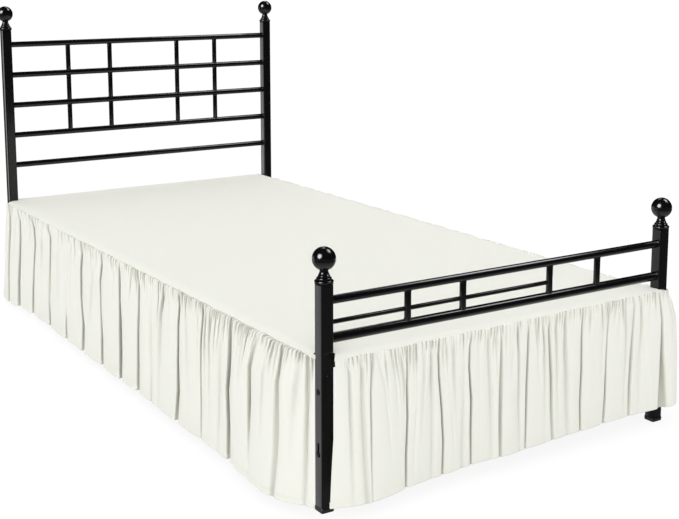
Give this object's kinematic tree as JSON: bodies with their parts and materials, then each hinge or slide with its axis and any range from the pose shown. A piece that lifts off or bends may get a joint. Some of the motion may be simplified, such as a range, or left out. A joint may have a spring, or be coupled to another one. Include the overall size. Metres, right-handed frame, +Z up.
{
  "type": "bed skirt on a metal bed frame",
  "caption": "Ivory gathered bed skirt with a flat deck and softly folded drops, laid on a black metal bed frame with ball finials and open tube head and foot boards.",
  "frame": {"origin": "on the floor, under the centre of the whole object's box", "axes": "X across the bed, -X its left side; +Y from the foot end to the head end; +Z up"},
  "size_m": [1.1447, 2.0671, 0.9863],
  "materials": {
    "black_paint": "semi-gloss black powder coat",
    "black_plastic": "satin black moulded cap",
    "black_steel": "blackened bolt head",
    "ivory_cloth": "matt plain-weave poly-cotton"
  },
  "bodies": {
    "root": {"bolt_lower": "black_steel", "bolt_upper": "black_steel", "cap_foot_left": "black_plastic", "cap_foot_right": "black_plastic", "cap_head_left": "black_plastic", "cap_head_right": "black_plastic", "cross_rail_foot": "black_paint", "cross_rail_head": "black_paint", "deck_panel": "ivory_cloth", "drop_foot": "ivory_cloth", "drop_left": "ivory_cloth", "drop_right": "ivory_cloth", "finial_foot_left": "black_paint", "finial_foot_right": "black_paint", "finial_head_left": "black_paint", "finial_head_right": "black_paint", "foot_middle_1": "black_paint", "foot_middle_2": "black_paint", "foot_middle_3": "black_paint", "foot_rail_bottom": "black_paint", "foot_rail_top": "black_paint", "foot_upright_1": "black_paint", "foot_upright_2": "black_paint", "foot_upright_3": "black_paint", "foot_upright_4": "black_paint", "head_rail_1": "black_paint", "head_rail_2": "black_paint", "head_rail_3": "black_paint", "head_rail_4": "black_paint", "head_rail_5": "black_paint", "head_upright_1_1": "black_paint", "head_upright_1_2": "black_paint", "head_upright_1_3": "black_paint", "head_upright_2_1": "black_paint", "head_upright_2_2": "black_paint", "head_upright_2_3": "black_paint", "head_upright_3_1": "black_paint", "head_upright_3_2": "black_paint", "head_upright_3_3": "black_paint", "head_upright_4_1": "black_paint", "head_upright_4_2": "black_paint", "head_upright_4_3": "black_paint", "post_foot_left": "black_paint", "post_foot_right": "black_paint", "post_head_left": "black_paint", "post_head_right": "black_paint", "screw_front": "black_steel", "side_rail_left": "black_paint", "side_rail_right": "black_paint", "slat_1": "black_paint", "slat_2": "black_paint", "slat_3": "black_paint", "slat_4": "black_paint", "slat_5": "black_paint", "slat_6": "black_paint", "slat_7": "black_paint", "slat_8": "black_paint"}
  },
  "joints": []
}
